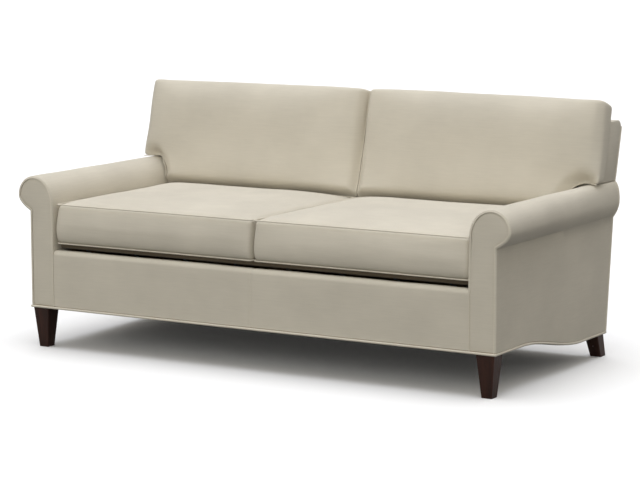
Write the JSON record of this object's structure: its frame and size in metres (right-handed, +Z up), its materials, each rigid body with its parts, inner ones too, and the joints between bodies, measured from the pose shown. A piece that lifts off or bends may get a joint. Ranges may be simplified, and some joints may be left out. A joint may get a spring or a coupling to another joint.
{
  "type": "english roll arm sofa",
  "caption": "English roll arm sofa with welted arm facings, loose seat and eared back cushions, a curved lower edge at each side and tapered wood legs.",
  "frame": {"origin": "on the floor, under the middle of the sofa's outline", "axes": "+Z up, -Y towards the front, +X towards the arm that is on the right when the sofa is seen from the front"},
  "size_m": [2.002, 0.9792, 0.9278],
  "materials": {
    "fabric": "plain close weave, matt, warm greige",
    "welt_fabric": "the same cloth cut on the bias and sewn round cord",
    "decking": "dark cotton platform cloth over a felt pad",
    "dark_wood": "espresso stain under satin lacquer",
    "frame_wood": "planed hardwood, unfinished",
    "foam": "open cell foam and fibre",
    "strap_cloth": "woven webbing",
    "cambric": "thin black non-woven cloth",
    "steel": "drawn wire and rolled thread"
  },
  "bodies": {
    "frame": {"leg_front_right": "dark_wood", "leg_rear_right": "dark_wood", "leg_bolt_front_right": "steel", "leg_bolt_rear_right": "steel", "corner_block_front_right": "frame_wood", "corner_block_rear_right": "frame_wood", "side_rail_right": "frame_wood", "arm_post_right": "frame_wood", "arm_board_right": "frame_wood", "arm_slat_right": "frame_wood", "back_post_right": "frame_wood", "arm_padding_right": "foam", "arm_cover_right": "fabric", "arm_facing_right": "fabric", "arm_facing_welt_right": "welt_fabric", "leg_front_left": "dark_wood", "leg_rear_left": "dark_wood", "leg_bolt_front_left": "steel", "leg_bolt_rear_left": "steel", "corner_block_front_left": "frame_wood", "corner_block_rear_left": "frame_wood", "side_rail_left": "frame_wood", "arm_post_left": "frame_wood", "arm_board_left": "frame_wood", "arm_slat_left": "frame_wood", "back_post_left": "frame_wood", "arm_padding_left": "foam", "arm_cover_left": "fabric", "arm_facing_left": "fabric", "arm_facing_welt_left": "welt_fabric", "front_rail": "frame_wood", "rear_rail": "frame_wood", "seat_spreader": "frame_wood", "back_top_rail": "frame_wood", "back_lower_rail": "frame_wood", "back_centre_post": "frame_wood", "back_webbing": "strap_cloth", "back_cover": "fabric", "back_padding": "foam", "outside_back": "fabric", "front_border": "fabric", "base_welt": "welt_fabric", "seat_deck": "decking", "dust_cover": "cambric", "seat_spring_1": "steel", "seat_spring_2": "steel", "seat_spring_3": "steel", "seat_spring_4": "steel", "seat_spring_5": "steel", "seat_spring_6": "steel", "seat_spring_7": "steel", "seat_spring_8": "steel"},
    "seat_cushion_right": {"seat_cushion_right": "fabric", "seat_foam_right": "foam"},
    "back_cushion_right": {"back_cushion_right": "fabric", "back_fill_right": "foam"},
    "seat_cushion_left": {"seat_cushion_left": "fabric", "seat_foam_left": "foam"},
    "back_cushion_left": {"back_cushion_left": "fabric", "back_fill_left": "foam"}
  },
  "joints": [
    {"name": "seat_cushion_right_slide", "type": "slide", "parent": "frame", "child": "seat_cushion_right", "axis": [0, -1, 0], "range_m": [0, 0.74]},
    {"name": "seat_cushion_left_slide", "type": "slide", "parent": "frame", "child": "seat_cushion_left", "axis": [0, -1, 0], "range_m": [0, 0.74]},
    {"name": "back_cushion_right_lift", "type": "slide", "parent": "frame", "child": "back_cushion_right", "axis": [0, 0, 1], "range_m": [0, 0.32]},
    {"name": "back_cushion_left_lift", "type": "slide", "parent": "frame", "child": "back_cushion_left", "axis": [0, 0, 1], "range_m": [0, 0.32]}
  ]
}
